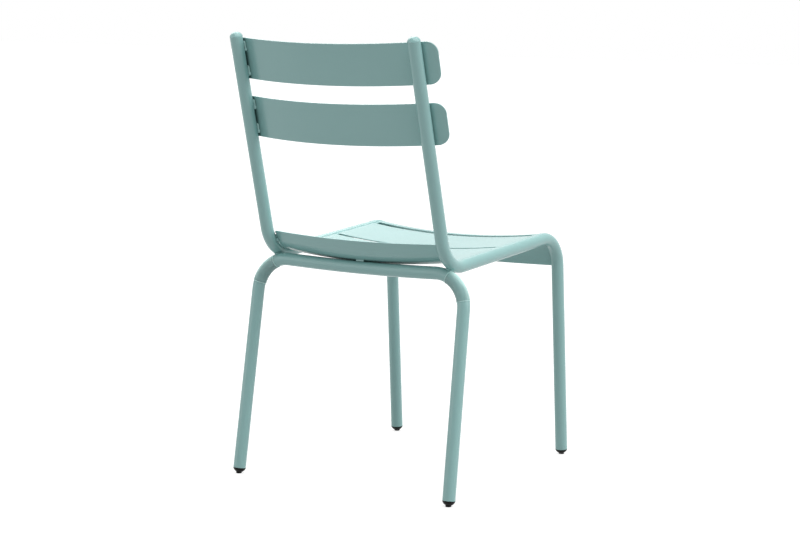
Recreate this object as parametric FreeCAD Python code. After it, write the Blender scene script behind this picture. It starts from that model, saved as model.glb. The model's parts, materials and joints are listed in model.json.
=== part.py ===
import FreeCAD, Part
import math
import os

from FreeCAD import Vector

# Lengths are in millimetres and angles in degrees.
# The origin is on the floor at the middle of the chair, with the front at -Y and the occupant's left at +X.

# Clearances and small allowances
seam_gap = 0.3
weld_gap = 0.05
plug_clearance = 0.15
cut_overrun = 5.0
parallel_share = 0.99

# Tube and sheet stock
tube_diameter = 25.0
tube_wall = 2.0
sheet_thickness = 2.5
sheet_edge_radius = 0.7

# Side frame: one tube bent into the upright, the seat rail and the front leg
seat_half_spacing = 201.9
upright_top_height = 878.0
upright_top_back = 297.0
upright_top_inset = 2.1
rear_knee_height = 436.8
rear_knee_back = 176.2
rear_knee_radius = 72.3
front_knee_height = 464.3
front_knee_forward = 261.8
front_knee_radius = 63.8
front_foot_forward = 296.5
front_foot_outset = 1.8

# Rear leg arch: one tube bent into both rear legs and the crossbar that carries the side frames
shoulder_back = 160.0
shoulder_outset = 34.9
shoulder_radius = 65.0
rear_foot_back = 227.4
rear_foot_outset = 7.5
crossbar_dip = 7.0
crossbar_setback = 2.4
crossbar_rounding_share = 0.59
saddle_depth = 1.0

# Seat slats, bowed across the chair and laid on the inner shoulders of the rails
slat_contact_angle = 38.6
seat_dip = 13.0
front_slat_overlap = 4.4
front_gap = 16.5
middle_slat_width = 135.5
rear_gap = 10.5
front_apron_drop = 4.0
rear_lip_turn = 69.8
rear_lip_radius = 50.0
lip_corner_radius = 6.0
slat_corner_radius = 3.0

# The slots that are left between the rear slat's bend and the rear knees
bend_slot_width = 2.0
bend_slot_start_turn = 4.0
bend_slot_end_turn = 65.8

# Seat support: a pad between the crossbar and the rear seat slat
support_width = 17.0
support_depth = 8.0

# Back slats, bowed backwards and fixed to the fronts of the uprights
back_slat_height = 81.7
back_slat_gap = 35.0
back_slat_radius = 750.0
back_slat_overhang = 33.4
back_slat_corner_radius = 22.0
upper_slat_drop = 14.2

# Upright caps
cap_dome_height = 8.0
cap_plug_length = 14.0
plug_chamfer = 1.0

# Glides
glide_height = 11.0
glide_rim_height = 1.2
glide_foot_height = 3.0
glide_neck_diameter = 13.0
glide_pad_diameter = 11.4
glide_pad_edge_radius = 0.8
glide_bulge = 0.9
glide_plug_length = 20.0

# Clear guards on the shoulders of the rear leg arch
guard_wall = 0.6
guard_start = 5.6
guard_length = 59.0

# Welds
knee_weld_radius = 8.5
rail_weld_angle = 66.0
rail_weld_crown = 0.5
slot_weld_length = 5.5
lip_weld_length = 20.0
stitch_radius = 3.9
stitch_end_radius = 4.8
stitch_length = 21.0
stitch_pitch = 3.0
stitch_setback = 6.0

tube_radius = tube_diameter / 2
bore_radius = tube_radius - tube_wall
plug_radius = bore_radius - plug_clearance
across = Vector(1, 0, 0)
upwards = Vector(0, 0, 1)


def unit(vector):
    return vector / vector.Length


def mirrored(shape):
    return shape.mirror(Vector(0, 0, 0), across)


def fused(shapes):
    return shapes[0].multiFuse(shapes[1:]).removeSplitter()


# Bent tubes: a route is a row of corner points with a bend radius at each inner corner
class Bend:
    def __init__(self, before, corner, after, radius):
        arriving = unit(corner - before)
        leaving = unit(after - corner)
        half_turn = arriving.getAngle(leaving) / 2
        reach = radius * math.tan(half_turn)
        inwards = unit(leaving - arriving)
        self.start = corner - arriving * reach
        self.end = corner + leaving * reach
        self.centre = corner + inwards * (radius / math.cos(half_turn))
        self.middle = self.centre - inwards * radius
        self.turn = math.degrees(2 * half_turn)
        self.axis = unit(arriving.cross(leaving))

    def point(self, angle):
        turning = FreeCAD.Rotation(self.axis, angle)
        return self.centre + turning.multVec(self.start - self.centre)

    def angle_from_end(self, place):
        return math.degrees((place - self.centre).getAngle(self.end - self.centre))

    def arc(self, first_angle, last_angle):
        points = [self.point(angle) for angle in (first_angle, (first_angle + last_angle) / 2, last_angle)]
        return Part.Arc(*points).toShape()


def bends_along(corners, radii):
    return [Bend(*corners[i:i + 3], radius) for i, radius in enumerate(radii)]


def route_wire(corners, radii):
    edges = []
    place = corners[0]
    for bend in bends_along(corners, radii):
        edges.append(Part.LineSegment(place, bend.start).toShape())
        edges.append(Part.Arc(bend.start, bend.middle, bend.end).toShape())
        place = bend.end
    edges.append(Part.LineSegment(place, corners[-1]).toShape())
    return Part.Wire(edges)


def rod_along(wire, radius):
    start = wire.Edges[0]
    place = start.valueAt(start.FirstParameter)
    direction = start.tangentAt(start.FirstParameter)
    circle = Part.Wire(Part.makeCircle(radius, place, direction))
    return wire.makePipe(Part.Face(circle))


def tube_along(wire, outer_radius, inner_radius):
    return rod_along(wire, outer_radius).cut(rod_along(wire, inner_radius))


# Where a leg stands on its glide: the tube ends square, a glide's height above the floor
def leg_end(foot, corner):
    direction = unit(corner - foot)
    return foot + direction * (glide_height / direction.z)


# The route of the left side frame's tube
upright_top = Vector(seat_half_spacing - upright_top_inset, upright_top_back, upright_top_height)
rear_knee = Vector(seat_half_spacing, rear_knee_back, rear_knee_height)
front_knee = Vector(seat_half_spacing, -front_knee_forward, front_knee_height)
front_foot = Vector(seat_half_spacing + front_foot_outset, -front_foot_forward, 0)
upright_direction = unit(upright_top - rear_knee)
upright_end = upright_top - upright_direction * cap_dome_height
side_corners = [upright_end, rear_knee, front_knee, leg_end(front_foot, front_knee)]
side_radii = [rear_knee_radius, front_knee_radius]
side_route = route_wire(side_corners, side_radii)
side_rod = rod_along(side_route, tube_radius)


# The route of the rear leg arch, from the left foot to the right foot
shoulder_half_spacing = seat_half_spacing + shoulder_outset
rear_foot = Vector(shoulder_half_spacing + rear_foot_outset, rear_foot_back, 0)


def arch_route(shoulder_height):
    shoulder = Vector(shoulder_half_spacing, shoulder_back, shoulder_height)
    middle = Vector(0, shoulder_back + crossbar_setback, shoulder_height - crossbar_dip)
    left = [leg_end(rear_foot, shoulder), shoulder]
    right = [Vector(-point.x, point.y, point.z) for point in reversed(left)]
    half_turn = math.atan2(math.hypot(crossbar_dip, crossbar_setback), shoulder_half_spacing)
    crossbar_radius = crossbar_rounding_share * shoulder_half_spacing / math.tan(half_turn)
    return left + [middle] + right, [shoulder_radius, crossbar_radius, shoulder_radius]


# The arch is as high as it can be with the side frames standing in its saddles
def axes_distance(shoulder_height):
    return route_wire(*arch_route(shoulder_height)).distToShape(side_route)[0]


too_high = rear_knee_height
shoulder_height = rear_knee_height - 4 * tube_diameter
halvings = 24
for halving in range(halvings):
    trial_height = (shoulder_height + too_high) / 2
    if axes_distance(trial_height) > tube_diameter + seam_gap - saddle_depth:
        shoulder_height = trial_height
    else:
        too_high = trial_height

arch_corners, arch_radii = arch_route(shoulder_height)
arch_wire = route_wire(arch_corners, arch_radii)
arch_rod = rod_along(arch_wire, tube_radius)
left_shoulder = bends_along(arch_corners, arch_radii)[0]
knee_on_side, knee_on_arch = side_route.distToShape(arch_wire)[1][0]


def side_frame():
    return tube_along(side_route, tube_radius, bore_radius)


# What stands beside a side frame is cut clear of it by a thicker rod on the same route
side_clearance = rod_along(side_route, tube_radius + seam_gap)


def rear_leg_arch():
    tube = tube_along(arch_wire, tube_radius, bore_radius)
    return tube.cut(side_clearance).cut(mirrored(side_clearance))


# Turned pieces: the outline is drawn in radius and height, then set on the end of a tube
def turned(outline, place, direction):
    flat = Part.Face(Part.Wire(outline))
    solid = flat.revolve(Vector(0, 0, 0), upwards, 360)
    solid.Placement = FreeCAD.Placement(place, FreeCAD.Rotation(upwards, direction))
    return solid


def polyline(points):
    return [Part.LineSegment(a, b).toShape() for a, b in zip(points, points[1:])]


# The plug's outline, from its far end on the axis to the edge of the tube
def plug_outline(length):
    return [Vector(0, 0, -length), Vector(plug_radius - plug_chamfer, 0, -length),
            Vector(plug_radius, 0, plug_chamfer - length), Vector(plug_radius, 0, 0), Vector(tube_radius, 0, 0)]


def upright_cap():
    dome_radius = (tube_radius ** 2 + cap_dome_height ** 2) / (2 * cap_dome_height)
    rim_angle = math.asin(tube_radius / dome_radius)
    half_way = Vector(dome_radius * math.sin(rim_angle / 2), 0,
                      cap_dome_height - dome_radius * (1 - math.cos(rim_angle / 2)))
    apex = Vector(0, 0, cap_dome_height)
    outline = polyline(plug_outline(cap_plug_length))
    outline.append(Part.Arc(Vector(tube_radius, 0, 0), half_way, apex).toShape())
    outline += polyline([apex, Vector(0, 0, -cap_plug_length)])
    return turned(outline, upright_end, upright_direction)


def glide(foot, corner):
    upwards_leg = unit(corner - foot)
    end = leg_end(foot, corner)
    neck_radius = glide_neck_diameter / 2
    neck_height = (end - foot).Length - glide_foot_height
    rim = Vector(tube_radius, 0, glide_rim_height)
    neck = Vector(neck_radius, 0, neck_height)
    slope = unit(neck - rim)
    bulge = (rim + neck) / 2 + Vector(slope.z, 0, -slope.x) * glide_bulge
    outline = polyline(plug_outline(glide_plug_length) + [rim])
    outline.append(Part.Arc(rim, bulge, neck).toShape())
    outline += polyline([neck, Vector(0, 0, neck_height), Vector(0, 0, -glide_plug_length)])
    body = turned(outline, end, -upwards_leg)
    pad_radius = glide_pad_diameter / 2
    pad = Part.makeCylinder(pad_radius, glide_foot_height + glide_rim_height, foot, upwards)
    sole = [edge for edge in pad.Edges if edge.BoundBox.ZMax < glide_pad_edge_radius]
    pad = pad.makeFillet(glide_pad_edge_radius, sole)
    return fused([body, pad])


# The guard starts beside the knee and follows the shoulder's bend down to the leg
guard_start_angle = left_shoulder.angle_from_end(knee_on_arch) + math.degrees(guard_start / shoulder_radius)
guard_end_angle = guard_start_angle + math.degrees(guard_length / shoulder_radius)
guard_wire = Part.Wire(left_shoulder.arc(left_shoulder.turn - guard_end_angle,
                                         left_shoulder.turn - guard_start_angle))
guard_outer_radius = tube_radius + plug_clearance + guard_wall


def stacking_guard():
    return tube_along(guard_wire, guard_outer_radius, guard_outer_radius - guard_wall).cut(side_clearance)


# Seat slats: one bowed section carried along the side frame's rail and round its knees
rear_bend, front_bend = bends_along([upright_top, rear_knee, front_knee, front_foot], side_radii)
forwards = unit(front_knee - rear_knee)
seat_normal = unit(across.cross(forwards)) * -1
contact_angle = math.radians(slat_contact_angle)
slat_rise = tube_radius * math.sin(contact_angle)
slat_half_width = seat_half_spacing - tube_radius * math.cos(contact_angle) - seam_gap
bow_radius = (slat_half_width ** 2 + seat_dip ** 2) / (2 * seat_dip)


def in_side_plane(point):
    return Vector(0, point.y, point.z)


# A point of the section, from the middle of the chair and from the height of the tube's axis
def section_point(station, x, height):
    return station + across * x + seat_normal * height


def bow_height(x, lift):
    return slat_rise - seat_dip + bow_radius - math.sqrt((bow_radius - lift) ** 2 - x ** 2)


def slat_section(station):
    corners = []
    curves = []
    for lift in (0, sheet_thickness):
        points = [section_point(station, x, bow_height(x, lift)) for x in (-slat_half_width, 0, slat_half_width)]
        curves.append(Part.Arc(*points).toShape())
        corners.append((points[0], points[-1]))
    (low_right, low_left), (high_right, high_left) = corners
    ends = [Part.LineSegment(low_left, high_left).toShape(), Part.LineSegment(low_right, high_right).toShape()]
    return Part.Face(Part.Wire(Part.__sortEdges__(curves + ends)))


# The weld that fills the corner between a slat's end and the top of the left rail
def rail_weld_section(station):
    radius = tube_radius + weld_gap
    inset = seat_half_spacing - slat_half_width
    inner = math.degrees(math.acos(inset / radius))

    def on_tube(angle):
        turned_angle = math.radians(angle)
        return section_point(station, seat_half_spacing - radius * math.cos(turned_angle),
                             radius * math.sin(turned_angle))

    low = on_tube(inner)
    high = on_tube(rail_weld_angle)
    slat_top = section_point(station, slat_half_width, bow_height(slat_half_width, sheet_thickness))
    crown = (slat_top + high) / 2 + seat_normal * rail_weld_crown
    outline = [Part.LineSegment(low, slat_top).toShape(), Part.Arc(slat_top, crown, high).toShape(),
               Part.Arc(high, on_tube((inner + rail_weld_angle) / 2), low).toShape()]
    return Part.Face(Part.Wire(outline))


# The weld that closes the end of a slot between two slats, a little thinner than the sheet
def slot_weld_section(station):
    inner = slat_half_width - slot_weld_length
    low, high = [[section_point(station, x, bow_height(x, lift)) for x in (inner, slat_half_width)]
                 for lift in (seam_gap, sheet_thickness - seam_gap)]
    return Part.Face(Part.makePolygon([low[0], low[1], high[1], high[0], low[0]]))


# Stations along the rail, as distances back from the start of the front knee's bend
front_bend_start = in_side_plane(front_bend.start)
rear_bend_start = in_side_plane(rear_bend.end)
rail_length = (rear_bend_start - front_bend_start).Length
front_slat_edge = front_slat_overlap
middle_slat_front = front_slat_edge + front_gap
middle_slat_rear = middle_slat_front + middle_slat_width
rear_slat_front = middle_slat_rear + rear_gap


def along_rail(section, front, rear):
    return section(front_bend_start - forwards * front).extrude(forwards * (front - rear))


# The end of the front slat's apron and of the rear slat's lip, as a point and the way the sheet runs out
front_knee_centre = in_side_plane(front_bend.centre)
apron_direction = FreeCAD.Rotation(across, front_bend.turn).multVec(forwards)
apron_end = in_side_plane(front_bend.end) + apron_direction * front_apron_drop
rear_knee_centre = in_side_plane(rear_bend.centre)
lip_turn = FreeCAD.Rotation(across, rear_lip_turn)
lip_direction = lip_turn.multVec(-forwards)
lip_end = rear_knee_centre + lip_turn.multVec(rear_bend_start - rear_knee_centre)

# The rear slat bends tighter than the knees, and its lip runs straight on to the same end
lip_run = (rear_knee_radius - rear_lip_radius) * math.tan(math.radians(rear_lip_turn / 2))
lip_bend_start = rear_bend_start - forwards * lip_run
lip_centre = lip_bend_start + seat_normal * rear_lip_radius


def bent_on(section, start, centre, turn):
    return section(start).revolve(centre, across, turn)


def run_on(section, start, centre, turn, run):
    last = section(start)
    last.rotate(centre, across, turn)
    return last.extrude(run)


def end_edges(sheet, place, direction):
    def on_end(vertex):
        return abs((vertex.Point - place).dot(direction)) < seam_gap

    return [edge for edge in sheet.Edges if all(on_end(vertex) for vertex in edge.Vertexes)]


# A seat slat's ends are given as a point, the way the sheet runs out there and the radius of the corners
def finished_sheet(sheet, ends):
    for place, direction, corner_radius in ends:
        corners = [edge for edge in end_edges(sheet, place, direction) if edge.Length < 2 * sheet_thickness]
        sheet = sheet.makeFillet(corner_radius, corners)
    rims = []
    for place, direction, corner_radius in ends:
        rims += [edge for edge in end_edges(sheet, place, direction) if edge.Length > 2 * sheet_thickness]
    return sheet.makeFillet(sheet_edge_radius, rims)


def rail_end(distance):
    return front_bend_start - forwards * distance, forwards, slat_corner_radius


def front_seat_slat():
    front_bow = (slat_section, front_bend_start, front_knee_centre, front_bend.turn)
    slat = fused([along_rail(slat_section, 0, front_slat_edge), bent_on(*front_bow),
                  run_on(*front_bow, apron_direction * front_apron_drop)])
    return finished_sheet(slat, [rail_end(front_slat_edge), (apron_end, apron_direction, lip_corner_radius)])


def middle_seat_slat():
    slat = along_rail(slat_section, middle_slat_front, middle_slat_rear)
    return finished_sheet(slat, [rail_end(middle_slat_front), rail_end(middle_slat_rear)])


def rear_seat_slat():
    rear_bow = (slat_section, lip_bend_start, lip_centre, rear_lip_turn)
    slat = fused([along_rail(slat_section, rear_slat_front, rail_length + lip_run), bent_on(*rear_bow),
                  run_on(*rear_bow, lip_direction * lip_run)])
    slat = finished_sheet(slat, [rail_end(rear_slat_front), (lip_end, lip_direction, lip_corner_radius)])
    knee = Part.Wire(rear_bend.arc(rear_bend.turn - bend_slot_end_turn, rear_bend.turn - bend_slot_start_turn))
    slot = rod_along(knee, tube_radius + bend_slot_width)
    return slat.cut(slot).cut(mirrored(slot))


# The pad that carries the middle of the rear slat, trimmed by slat and crossbar where they come closest
def rear_seat_support(slat):
    crossbar_middle = arch_wire.distToShape(Part.Vertex(arch_corners[2]))[1][0][0]
    towards_slat = unit(lip_centre - crossbar_middle)
    backwards = unit(towards_slat.cross(across))
    corner = crossbar_middle + towards_slat * bore_radius - across * (support_width / 2)
    base = Part.makePolygon([corner, corner + across * support_width,
                             corner + across * support_width + backwards * support_depth,
                             corner + backwards * support_depth, corner])
    block = Part.Face(base).extrude(towards_slat * (2 * tube_wall + sheet_thickness))
    pad = block.cut(arch_rod).cut(slat)
    return max(pad.Solids, key=lambda solid: solid.Volume)


# Back slats, in a frame that leans with the uprights
lean = math.atan2(upright_top.y - rear_knee.y, upright_top.z - rear_knee.z)
lean_up = Vector(0, math.sin(lean), math.cos(lean))
lean_front = Vector(0, -math.cos(lean), math.sin(lean))
rear_face_radius = back_slat_radius + sheet_thickness


def upright_spacing(drop):
    return upright_top.x - drop * upright_direction.x


# The bow's centre lies this far in front of the upright's axis, so that the slat's rear face meets the tube
def bow_distance(drop):
    return math.sqrt((rear_face_radius + tube_radius + seam_gap) ** 2 - upright_spacing(drop) ** 2)


def leaning_point(x, drop, front):
    return in_side_plane(upright_top) + across * x - lean_up * drop + lean_front * front


def back_slat(top_drop):
    bottom_drop = top_drop + back_slat_height
    middle_drop = (top_drop + bottom_drop) / 2
    distance = bow_distance(middle_drop)
    half_width = upright_spacing(middle_drop) + back_slat_overhang
    curves = []
    for radius in (rear_face_radius, back_slat_radius):
        reach = half_width + back_slat_corner_radius
        points = [leaning_point(x, bottom_drop, distance - math.sqrt(radius ** 2 - x ** 2))
                  for x in (-reach, 0, reach)]
        curves.append((Part.Arc(*points).toShape(), points[0], points[-1]))
    ends = [Part.LineSegment(curves[0][i], curves[1][i]).toShape() for i in (1, 2)]
    band = Part.Face(Part.Wire(Part.__sortEdges__([curves[0][0], curves[1][0]] + ends)))
    band = band.extrude(lean_up * back_slat_height)
    blank = back_slat_blank(half_width, top_drop, bottom_drop, distance)
    slat = band.common(blank)
    rims = [edge for edge in slat.Edges if edge.Length > 2 * sheet_thickness]
    return slat.makeFillet(sheet_edge_radius, rims)


# The slat's outline as seen square from behind, as a thick plate
def back_slat_blank(half_width, top_drop, bottom_drop, distance):
    behind = distance - rear_face_radius - cut_overrun
    in_front = distance - math.sqrt(back_slat_radius ** 2 - half_width ** 2) + cut_overrun
    outline = [leaning_point(x, drop, behind) for x, drop in
               ((-half_width, top_drop), (half_width, top_drop), (half_width, bottom_drop),
                (-half_width, bottom_drop), (-half_width, top_drop))]
    plate = Part.Face(Part.makePolygon(outline)).extrude(lean_front * (in_front - behind))
    corners = [edge for edge in plate.Edges
               if abs(edge.tangentAt(edge.FirstParameter).dot(lean_front)) > parallel_share]
    return plate.makeFillet(back_slat_corner_radius, corners)


lower_slat_drop = upper_slat_drop + back_slat_height + back_slat_gap


# A stitch weld is a row of overlapping drops, the last one larger, trimmed by what it joins
def stitch(places, trims):
    drops = [Part.makeSphere(stitch_radius, place) for place in places[:-1]]
    drops.append(Part.makeSphere(stitch_end_radius, places[-1]))
    bead = fused(drops)
    for trim in trims:
        bead = bead.cut(trim)
    return max(bead.Solids, key=lambda solid: solid.Volume)


def spaced(length):
    steps = max(1, round((length - stitch_radius - stitch_end_radius) / stitch_pitch))
    return [stitch_radius + step * (length - stitch_radius - stitch_end_radius) / steps for step in range(steps + 1)]


# Two stitches on each upright, in the corner between the slat's back and the tube's inner side
def back_slat_welds(top_drop):
    from_axis = tube_radius + stitch_radius / 2
    forward = tube_radius - stitch_radius / 4
    inward = math.sqrt(from_axis ** 2 - forward ** 2)
    bottom_drop = top_drop + back_slat_height
    bow_centre = leaning_point(0, bottom_drop, bow_distance((top_drop + bottom_drop) / 2))
    before_slat = Part.makeCylinder(rear_face_radius, back_slat_height, bow_centre, lean_up)
    first = top_drop + stitch_setback
    second = bottom_drop - stitch_setback - stitch_length
    beads = []
    for start in (first, second):
        places = [leaning_point(upright_spacing(start + step) - inward, start + step, forward)
                  for step in spaced(stitch_length)]
        bead = stitch(places, (side_rod, before_slat))
        beads += [bead, mirrored(bead)]
    return Part.Compound(beads)


def both_sides(*welds):
    return Part.Compound(list(welds) + [mirrored(weld) for weld in welds])


def front_seat_slat_welds():
    strip = along_rail(rail_weld_section, 0, front_slat_edge)
    return both_sides(fused([strip, bent_on(rail_weld_section, front_bend_start, front_knee_centre, front_bend.turn)]))


# The middle slat's welds run on to its neighbours, and close the ends of the slots
def middle_seat_slat_welds(slats):
    pieces = [along_rail(rail_weld_section, front_slat_edge, rear_slat_front)]
    for front, rear in ((front_slat_edge, middle_slat_front), (middle_slat_rear, rear_slat_front)):
        pieces.append(along_rail(slot_weld_section, front - slat_corner_radius, rear + slat_corner_radius))
    weld = fused(pieces)
    for slat in slats:
        weld = weld.cut(slat)
    return both_sides(max(weld.Solids, key=lambda solid: solid.Volume))


# The rear slat's ends are welded along the rails, and by beads in the slots beside its lip
def rear_seat_slat_welds(slat):
    places = []
    for step in spaced(lip_weld_length):
        turn = bend_slot_end_turn - math.degrees(step / rear_knee_radius)
        on_axis = rear_bend.point(rear_bend.turn - turn)
        on_slat = Part.Vertex(on_axis).distToShape(slat)[1][0][1]
        places.append(on_axis + unit(on_slat - on_axis) * (tube_radius + bend_slot_width / 2))
    bead = stitch(places, (side_rod, slat))
    return both_sides(along_rail(rail_weld_section, rear_slat_front, rail_length), bead)


# The weld where the left side frame stands on the arch, clear of the guard
def knee_weld():
    lump = Part.makeSphere(knee_weld_radius, (knee_on_side + knee_on_arch) / 2)
    for trim in (side_rod, arch_rod, rod_along(guard_wire, guard_outer_radius + seam_gap)):
        lump = lump.cut(trim)
    return max(lump.Solids, key=lambda solid: solid.Volume)


def all_nodes():
    nodes = {}

    def pair(name, shape):
        nodes["left_" + name] = shape
        nodes["right_" + name] = mirrored(shape)

    pair("side_frame", side_frame())
    pair("upright_cap", upright_cap())
    pair("stacking_guard", stacking_guard())
    pair("knee_weld", knee_weld())
    for end, foot, corner in (("front", front_foot, front_knee), ("rear", rear_foot, arch_corners[1])):
        shape = glide(foot, corner)
        nodes[end + "_left_glide"] = shape
        nodes[end + "_right_glide"] = mirrored(shape)
    nodes["rear_leg_arch"] = rear_leg_arch()
    nodes["front_seat_slat"] = front_seat_slat()
    nodes["middle_seat_slat"] = middle_seat_slat()
    nodes["rear_seat_slat"] = rear_seat_slat()
    nodes["rear_seat_support"] = rear_seat_support(nodes["rear_seat_slat"])
    nodes["front_seat_slat_welds"] = front_seat_slat_welds()
    slats = [nodes[place + "_seat_slat"] for place in ("front", "middle", "rear")]
    nodes["middle_seat_slat_welds"] = middle_seat_slat_welds(slats)
    nodes["rear_seat_slat_welds"] = rear_seat_slat_welds(nodes["rear_seat_slat"])
    for name, drop in (("upper", upper_slat_drop), ("lower", lower_slat_drop)):
        nodes[name + "_back_slat"] = back_slat(drop)
        nodes[name + "_back_slat_welds"] = back_slat_welds(drop)
    return nodes


os.makedirs("parts", exist_ok=True)
for node_name, node_shape in all_nodes().items():
    node_shape.exportStep("parts/" + node_name + ".step")
    print(node_name, len(node_shape.Solids), "solids, valid", node_shape.isValid(), round(node_shape.Volume))
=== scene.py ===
import json
import math

import bmesh
import bpy
from mathutils import Matrix, Vector

# Lengths are in metres, angles in degrees and colours in linear light.
# A gloss is a Specular IOR Level, and a spread is how far a roughness strays over a surface.
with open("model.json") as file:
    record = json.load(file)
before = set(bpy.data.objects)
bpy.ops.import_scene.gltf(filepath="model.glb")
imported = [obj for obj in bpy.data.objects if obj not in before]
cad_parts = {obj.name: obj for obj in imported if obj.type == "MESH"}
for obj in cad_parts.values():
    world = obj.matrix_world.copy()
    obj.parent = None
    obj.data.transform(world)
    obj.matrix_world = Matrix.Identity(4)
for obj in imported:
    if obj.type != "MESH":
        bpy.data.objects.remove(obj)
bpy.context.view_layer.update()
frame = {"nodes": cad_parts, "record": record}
white = (1.0, 1.0, 1.0)
noise_middle = 0.5

# Powder coat
coat_colour = (0.305, 0.570, 0.555)
coat_roughness = 0.22
coat_ior = 1.55
coat_gloss = 0.5
thin_coat_patch = 0.11
thin_coat_lightening = 0.05
thin_coat_share = 0.7
thin_coat_spread = 0.08
peel_size = 0.0016
peel_depth = 0.00003
grain_size = 0.0004
grain_depth = 0.000006
grain_spread = 0.06

# Powder coat on welds
weld_ripple_size = 0.0028
weld_ripple_depth = 0.00012
weld_gloss = 0.1
# The back slats' welds are painted lighter than the coat, a painted highlight for the light they catch
stitch_painted_light_colour = (0.56, 0.90, 0.87)

# Painted shade in the seams between pieces, a near-black finish where little light reaches: an opening is the
# share of its surroundings that a place sees where the painted shade begins
painted_seam_shade_colour = (0.003, 0.042, 0.034)
painted_seam_shade_roughness = 0.9
painted_seam_shade_gloss = 0.0
painted_shade_reach = 0.012
painted_shade_samples = 16
painted_shade_opening = 0.6
# A higher opening gives painted shade to more of the rear seat slat's welds
weld_painted_shade_opening = 0.9
no_painted_shade = 0

# Black glides
glide_colour = (0.004, 0.004, 0.004)
glide_roughness = 0.36
glide_gloss = 0.12
glide_grain_size = 0.0006
glide_grain_depth = 0.00002
scuff_size = 0.004
scuff_lightening = 0.006
scuff_spread = 0.16

# Clear guards, which show the tube's colour
guard_colour = (0.36, 0.63, 0.615)
guard_roughness = 0.15
guard_body = 0.55
guard_ior = 1.49
haze_size = 0.006
haze_depth = 0.000004
haze_lightening = 0.1
haze_spread = 0.06

# Milky rims of the guards, whose pale colour also stands in for the light the cut ends catch (a painted
# highlight), and a painted sheen along their upper outlines
milky_rim_and_sheen_colour = (0.70, 1.0, 0.96)
milky_rim_and_sheen_roughness = 0.5
milky_rim_and_sheen_gloss = 0.1
rim_width = 0.0009
painted_sheen_start = 0.15
painted_sheen_rise = 2.5
painted_sheen_upward_rise = 1.6
painted_sheen_share = 0.8

# The planes of the left guard's two ends, each as its outward direction and its distance from the origin
guard_ends = (
    ((0.24142, 0.14868, -0.95896), -0.28288),
    ((-0.91337, -0.05800, 0.40297), -0.02078),
)

# Studio
surround_light = 0.26
backdrop_light = 1.0
floor_size = 40.0
floor_colour = (0.38, 0.38, 0.38)
floor_glow = 0.78

# Lamps, each as its name, compass angle, elevation, softness and strength
studio_lamps = (
    ("ceiling", 90, 74, 60, 1.80),
    ("front_light", -45, 45, 45, 1.30),
    ("side_light", 74, 22, 45, 0.85),
    ("rear_light", -135, 12, 45, 0.42),
)

# Camera, from the outlines of the tubes in the photograph
camera_place = Vector((-2.26761, 3.59678, 0.98227))
camera_heading = 212.367
camera_pitch = -7.658
camera_roll = 0.515
camera_lens = 96.51
camera_film_width = 36.0


class Channel:
    """A socket of a finish that can be reckoned with: each operator adds its Math node."""

    def __init__(self, finish, socket):
        self.finish = finish
        self.socket = socket

    def reckoned(self, operation, first, second):
        return self.finish.add("ShaderNodeMath", {"operation": operation}, {0: first, 1: second})

    def __add__(self, other):
        return self.reckoned("ADD", self, other)

    def __radd__(self, other):
        return self.reckoned("ADD", other, self)

    def __sub__(self, other):
        return self.reckoned("SUBTRACT", self, other)

    def __rsub__(self, other):
        return self.reckoned("SUBTRACT", other, self)

    def __mul__(self, other):
        return self.reckoned("MULTIPLY", self, other)

    def __rmul__(self, other):
        return self.reckoned("MULTIPLY", other, self)


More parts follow.
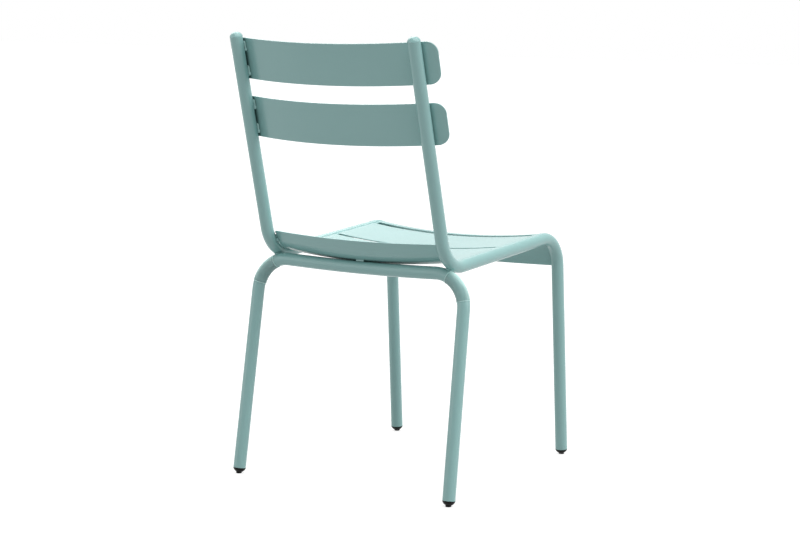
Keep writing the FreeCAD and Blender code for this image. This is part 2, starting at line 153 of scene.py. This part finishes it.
class Finish:
    """The nodes of one material or of the world."""

    def __init__(self, owner):
        owner.use_nodes = True
        self.owner = owner
        self.tree = owner.node_tree
        self.tree.nodes.clear()

    def add(self, kind, settings={}, sockets={}, output=0):
        node = self.tree.nodes.new(kind)
        for name, setting in settings.items():
            setattr(node, name, setting)
        for name, value in sockets.items():
            if isinstance(value, Channel):
                self.tree.links.new(value.socket, node.inputs[name])
            else:
                node.inputs[name].default_value = value
        return Channel(self, node.outputs[output])

    def place(self):
        return self.add("ShaderNodeTexCoord", output="Object")

    def noise(self, place, size, detail):
        return self.add("ShaderNodeTexNoise", {}, {"Vector": place, "Scale": 1 / size, "Detail": detail})

    def tint(self, amount, dark, light):
        """A colour between dark, at 0, and light, at 1."""
        mix = self.tree.nodes.new("ShaderNodeMix")
        mix.data_type = "RGBA"
        colours = [socket for socket in mix.inputs if socket.type == "RGBA"]
        colours[0].default_value = (*dark, 1)
        colours[1].default_value = (*light, 1)
        self.tree.links.new(amount.socket, mix.inputs[0])
        return Channel(self, next(socket for socket in mix.outputs if socket.type == "RGBA"))

    def bump(self, height, depth, normal=None):
        sockets = {"Height": height, "Distance": depth}
        if normal:
            sockets["Normal"] = normal
        return self.add("ShaderNodeBump", {}, sockets)

    def clamped(self, amount):
        return self.add("ShaderNodeMath", {"operation": "ADD", "use_clamp": True}, {0: amount, 1: 0.0})

    def above(self, amount, limit):
        return self.add("ShaderNodeMath", {"operation": "GREATER_THAN"}, {0: amount, 1: limit})

    def within_guard(self, place, margin):
        """1 a margin or more inside both ends of the guard on that side of the chair, and 0 elsewhere."""
        x, y, z = [self.add("ShaderNodeSeparateXYZ", {}, {0: place}, axis) for axis in "XYZ"]
        x = self.add("ShaderNodeMath", {"operation": "ABSOLUTE"}, {0: x})
        lower, upper = [self.above(distance - (x * across + y * back + z * up), margin)
                        for (across, back, up), distance in guard_ends]
        return lower * upper

    def crevice_shade_mask(self, opening):
        """Where painted shade goes: 1 deep in a crevice, and 0 where a place sees the opening's share of what
        lies in reach.
        """
        seen = self.add("ShaderNodeAmbientOcclusion", {"samples": painted_shade_samples}, {"Distance": painted_shade_reach}, "AO")
        return self.clamped((opening - seen) * (1 / opening))

    def painted_sheen_mask(self):
        """Where the painted sheen goes: 1 along the outline of a piece where it faces up, and 0 over the rest
        of it.
        """
        edge = self.add("ShaderNodeLayerWeight", {}, {}, "Facing")
        normal = self.add("ShaderNodeNewGeometry", output="Normal")
        upward = self.add("ShaderNodeSeparateXYZ", {}, {0: normal}, "Z")
        return self.clamped((edge - painted_sheen_start) * painted_sheen_rise) * self.clamped(upward * painted_sheen_upward_rise)

    def blend(self, share, first, second):
        return self.add("ShaderNodeMixShader", {}, {0: share, 1: first, 2: second})

    def surface(self, shader):
        self.add_output("ShaderNodeOutputMaterial", shader)

    def surround(self, shader):
        self.add_output("ShaderNodeOutputWorld", shader)

    def add_output(self, kind, shader):
        output = self.tree.nodes.new(kind)
        self.tree.links.new(shader.socket, output.inputs["Surface"])


def new_finish(name):
    return Finish(bpy.data.materials.new(name))


def lightened(colour, share):
    return tuple(part + (1 - part) * share for part in colour)


def darkened(colour, share):
    return tuple(part * (1 - share) for part in colour)


# Satin powder coat: patches a hand wide where it lies thin, the peel of the cured powder, a fine grain
# and, on welds, their ripples; with an opening, painted shade mixed into its seams
def powder_coat(name, base=coat_colour, opening=painted_shade_opening, weld=False):
    coat = new_finish(name)
    place = coat.place()
    patches = coat.noise(place, thin_coat_patch, detail=3.0)
    peel = coat.noise(place, peel_size, detail=1.0)
    grain = coat.noise(place, grain_size, detail=0.0)
    relief = coat.bump(peel, peel_depth, coat.bump(grain, grain_depth))
    if weld:
        relief = coat.bump(coat.noise(place, weld_ripple_size, detail=1.0), weld_ripple_depth, relief)
    skin = coat.add("ShaderNodeBsdfPrincipled", {}, {
        "Base Color": coat.tint(patches * thin_coat_share + peel * (1 - thin_coat_share),
                                darkened(base, thin_coat_lightening), lightened(base, thin_coat_lightening)),
        "Roughness": (coat_roughness + (patches - noise_middle) * thin_coat_spread
                      + (grain - noise_middle) * grain_spread),
        "IOR": coat_ior,
        "Specular IOR Level": weld_gloss if weld else coat_gloss,
        "Normal": relief,
    })
    # Painted shade: a near-black finish mixed in where a place sees little of its surroundings, except under
    # the guards
    if opening:
        painted_seam_shade = coat.add("ShaderNodeBsdfPrincipled", {}, {
            "Base Color": (*painted_seam_shade_colour, 1),
            "Roughness": painted_seam_shade_roughness,
            "Specular IOR Level": painted_seam_shade_gloss,
        })
        uncovered = 1 - coat.within_guard(place, 0)
        skin = coat.blend(coat.crevice_shade_mask(opening) * uncovered, skin, painted_seam_shade)
    coat.surface(skin)
    return coat.owner


def black_plastic(name):
    plastic = new_finish(name)
    place = plastic.place()
    grain = plastic.noise(place, glide_grain_size, detail=2.0)
    scuffs = plastic.noise(place, scuff_size, detail=3.0)
    plastic.surface(plastic.add("ShaderNodeBsdfPrincipled", {}, {
        "Base Color": plastic.tint(scuffs, glide_colour, lightened(glide_colour, scuff_lightening)),
        "Roughness": glide_roughness + (scuffs - noise_middle) * scuff_spread,
        "Specular IOR Level": glide_gloss,
        "Normal": plastic.bump(grain, glide_grain_depth),
    }))
    return plastic.owner


def clear_plastic(name):
    plastic = new_finish(name)
    place = plastic.place()
    haze = plastic.noise(place, haze_size, detail=2.0)
    clear = plastic.add("ShaderNodeBsdfPrincipled", {}, {
        "Base Color": plastic.tint(haze, guard_colour, lightened(guard_colour, haze_lightening)),
        "Roughness": guard_roughness + (haze - noise_middle) * haze_spread,
        "IOR": guard_ior,
        "Alpha": guard_body,
        "Normal": plastic.bump(haze, haze_depth),
    })
    # A pale plastic at the rims, partly the milky cut ends and partly a painted highlight, and along the upper
    # outline as a painted sheen
    milky_rim_and_sheen = plastic.add("ShaderNodeBsdfPrincipled", {}, {
        "Base Color": (*milky_rim_and_sheen_colour, 1),
        "Roughness": milky_rim_and_sheen_roughness,
        "Specular IOR Level": milky_rim_and_sheen_gloss,
    })
    body = plastic.within_guard(place, rim_width)
    painted_sheen = plastic.painted_sheen_mask() * painted_sheen_share
    plastic.surface(plastic.blend(1 - body * (1 - painted_sheen), clear, milky_rim_and_sheen))
    return plastic.owner


# The finish of each of the record's slots, and of the welds painted lighter or given more painted shade than
# the rest for the light they lie in
def dress_nodes():
    finishes = {
        "pale_green_powder_coat": powder_coat("satin_powder_coat"),
        "painted_weld": powder_coat("powder_coated_weld", opening=no_painted_shade, weld=True),
        "black_plastic": black_plastic("moulded_black_plastic"),
        "clear_plastic": clear_plastic("clear_soft_plastic"),
    }
    # The back slats' welds get a lighter colour, a painted highlight
    stitch_with_painted_light = powder_coat("powder_coated_stitch_with_painted_light", stitch_painted_light_colour, no_painted_shade, weld=True)
    # The rear seat slat's welds get painted shade over more of their seams
    weld_with_painted_shade = powder_coat("powder_coated_weld_with_painted_shade", opening=weld_painted_shade_opening, weld=True)
    weld_finishes = {
        "upper_back_slat_welds": stitch_with_painted_light,
        "lower_back_slat_welds": stitch_with_painted_light,
        "rear_seat_slat_welds": weld_with_painted_shade,
    }
    for subpart in frame["record"]["subparts"]:
        node = frame["nodes"][subpart["node"]]
        node.data.materials.clear()
        node.data.materials.append(weld_finishes.get(subpart["node"], finishes[subpart["material_slot"]]))


# White to the camera and in reflections, and a plain level of light to everything else
def seen_directly(finish):
    camera = finish.add("ShaderNodeLightPath", output="Is Camera Ray")
    glossy = finish.add("ShaderNodeLightPath", output="Is Glossy Ray")
    through = finish.add("ShaderNodeLightPath", output="Is Transmission Ray")
    return 1 - (1 - camera) * (1 - glossy) * (1 - through)


def white_surround():
    world = bpy.data.worlds.new("studio")
    bpy.context.scene.world = world
    finish = Finish(world)
    light, backdrop = [finish.add("ShaderNodeBackground", {}, {"Color": (*white, 1), "Strength": strength})
                       for strength in (surround_light, backdrop_light)]
    finish.surround(finish.blend(seen_directly(finish), light, backdrop))


def pale_floor():
    finish = new_finish("pale_floor")
    plain = finish.add("ShaderNodeBsdfDiffuse", {}, {"Color": (*floor_colour, 1)})
    glow = finish.add("ShaderNodeEmission", {}, {"Color": (*white, 1), "Strength": floor_glow})
    lit = finish.add("ShaderNodeAddShader", {}, {0: plain, 1: glow})
    finish.surface(finish.blend(seen_directly(finish), plain, lit))
    mesh = bpy.data.meshes.new("floor")
    shape = bmesh.new()
    bmesh.ops.create_grid(shape, x_segments=1, y_segments=1, size=floor_size / 2)
    shape.to_mesh(mesh)
    shape.free()
    mesh.materials.append(finish.owner)
    floor = bpy.data.objects.new("floor", mesh)
    bpy.context.scene.collection.objects.link(floor)


# A direction at a compass angle round the chair, with 0 in front of the seat and 90 at the occupant's right
def outwards(angle, elevation):
    turn = math.radians(angle)
    rise = math.radians(elevation)
    return Vector((-math.sin(turn) * math.cos(rise), -math.cos(turn) * math.cos(rise), math.sin(rise)))


# Far lamps as wide as their softness, so that the whole floor gets them alike
def far_light(name, angle, elevation, softness, strength):
    lamp = bpy.data.lights.new(name, "SUN")
    lamp.angle = math.radians(softness)
    lamp.energy = strength
    light = bpy.data.objects.new(name, lamp)
    bpy.context.scene.collection.objects.link(light)
    light.matrix_world = (-outwards(angle, elevation)).to_track_quat("-Z", "Y").to_matrix().to_4x4()


def photo_camera():
    data = bpy.data.cameras.new("camera")
    data.lens = camera_lens
    data.sensor_width = camera_film_width
    data.sensor_fit = "HORIZONTAL"
    camera = bpy.data.objects.new("camera", data)
    bpy.context.scene.collection.objects.link(camera)
    heading = Matrix.Rotation(math.radians(camera_heading), 4, "Z")
    pitch = Matrix.Rotation(math.radians(90 + camera_pitch), 4, "X")
    roll = Matrix.Rotation(math.radians(camera_roll), 4, "Z")
    camera.matrix_world = Matrix.Translation(camera_place) @ heading @ pitch @ roll
    bpy.context.scene.camera = camera


dress_nodes()
white_surround()
pale_floor()
for studio_lamp in studio_lamps:
    far_light(*studio_lamp)
photo_camera()
bpy.context.scene.view_settings.view_transform = "Standard"
